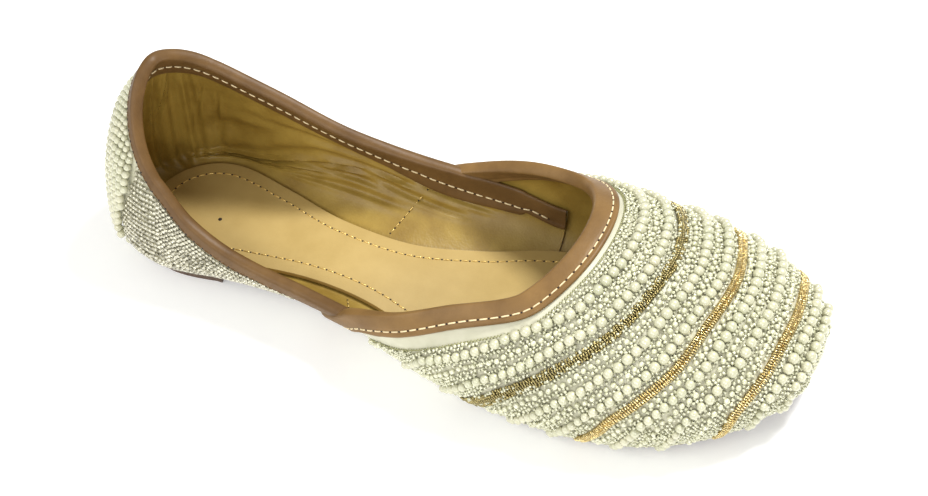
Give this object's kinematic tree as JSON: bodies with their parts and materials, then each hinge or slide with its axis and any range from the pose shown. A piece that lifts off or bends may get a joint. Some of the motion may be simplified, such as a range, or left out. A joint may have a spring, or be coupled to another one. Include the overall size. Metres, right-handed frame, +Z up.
{
  "type": "mojari shoe",
  "caption": "Low slip-on shoe with a round throat, bound edges, rows of pearls and coiled gold cord across the vamp, a pearled heel and a thin leather sole.",
  "frame": {"origin": "on the floor, under the middle of the shoe's box", "axes": "+X to the toe, +Y to the medial (inner) side, +Z up"},
  "size_m": [0.2534, 0.0916, 0.0755],
  "materials": {
    "satin": "ivory satin, slightly glossy",
    "binding": "smooth brown leather with a soft gloss",
    "sock": "smooth tan leather",
    "sole": "firm brown sole leather",
    "pearl": "pearl lustre",
    "beads": "clear glass, polished",
    "gold": "coiled gold-coloured wire"
  },
  "bodies": {
    "root": {"upper": "satin", "throat_binding": "binding", "collar_binding": "binding", "insole": "sock", "outsole": "sole", "heel_lift": "sole", "heel_pearl_panel": "pearl", "lateral_bead_panel": "beads", "medial_bead_panel": "beads", "pearl_string_1": "pearl", "pearl_string_2": "pearl", "pearl_string_3": "pearl", "pearl_string_4": "pearl", "pearl_string_5": "pearl", "pearl_string_6": "pearl", "pearl_string_7": "pearl", "pearl_string_8": "pearl", "gold_cord_1": "gold", "gold_cord_2": "gold", "gold_cord_3": "gold"}
  },
  "joints": []
}
